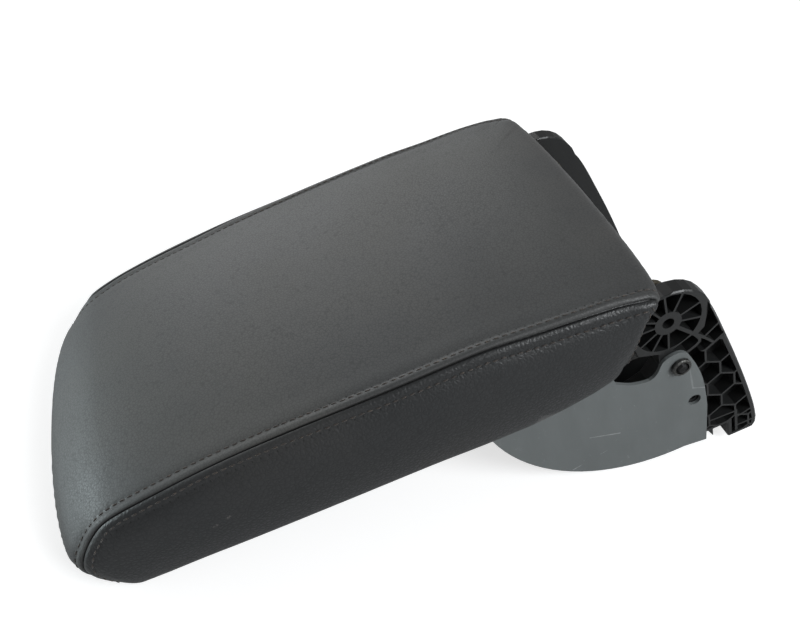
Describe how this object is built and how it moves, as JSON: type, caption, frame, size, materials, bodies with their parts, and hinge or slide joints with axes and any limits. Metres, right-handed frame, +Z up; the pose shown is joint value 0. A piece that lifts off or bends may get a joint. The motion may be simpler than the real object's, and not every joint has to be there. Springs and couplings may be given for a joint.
{
  "type": "center console armrest lid",
  "caption": "Leather-covered console armrest lid that swings up on a rear hinge bracket with two ribbed cheeks and smooth side plates.",
  "frame": {"origin": "middle of the flat underside of the bracket beam, where the bracket bolts down", "axes": "+Z up, X across the car along the hinge line, -Y towards the front edge of the lid"},
  "size_m": [0.1764, 0.326, 0.1431],
  "materials": {
    "leather": "fine-grained, satin, dark grey",
    "foam": "moulded foam",
    "ribbed_plastic": "glass-filled nylon, dark grey",
    "plate_plastic": "smooth mid grey with light scratches",
    "black_plastic": "fine-textured black",
    "collar_metal": "dull yellow passivated",
    "screw_steel": "zinc plated, dull",
    "spring_steel": "oiled spring wire",
    "arm_steel": "dark coated pressed steel",
    "nylon": "natural nylon",
    "rubber": "soft matt black"
  },
  "bodies": {
    "bracket": {"cheek_left": "ribbed_plastic", "cheek_right": "ribbed_plastic", "bracket_beam": "ribbed_plastic", "side_plate_left": "plate_plastic", "side_plate_right": "plate_plastic", "plate_collar_left": "collar_metal", "plate_collar_right": "collar_metal", "plate_screw_left": "screw_steel", "plate_screw_right": "screw_steel", "beam_screw_left_front": "screw_steel", "beam_screw_left_rear": "screw_steel", "beam_screw_right_front": "screw_steel", "beam_screw_right_rear": "screw_steel", "torsion_spring_left": "spring_steel", "torsion_spring_right": "spring_steel"},
    "lid": {"leather_cover": "leather", "foam_pad": "foam", "lid_carrier": "black_plastic", "lower_shell": "black_plastic", "hinge_arm_left": "arm_steel", "hinge_arm_right": "arm_steel", "hinge_bush_left": "nylon", "hinge_bush_right": "nylon", "arm_screw_1": "screw_steel", "arm_screw_2": "screw_steel", "arm_screw_3": "screw_steel", "arm_screw_4": "screw_steel", "shell_screw_1": "screw_steel", "shell_screw_2": "screw_steel", "shell_screw_3": "screw_steel", "shell_screw_4": "screw_steel", "lid_buffer_left": "rubber", "lid_buffer_right": "rubber", "latch_pin": "screw_steel", "latch_spring": "spring_steel"},
    "latch": {"latch_paddle": "black_plastic"}
  },
  "joints": [
    {"name": "lid_hinge", "type": "hinge", "parent": "bracket", "child": "lid", "pos_m": [0, 0.0084, 0.0892], "axis": [-1, 0, 0], "range_deg": [0, 80]},
    {"name": "latch_release", "type": "hinge", "parent": "lid", "child": "latch", "pos_m": [0, -0.226, 0.095], "axis": [-1, 0, 0], "range_deg": [0, 12], "stiffness_Nm_per_rad": 0.05, "springref_deg": -20.05}
  ]
}
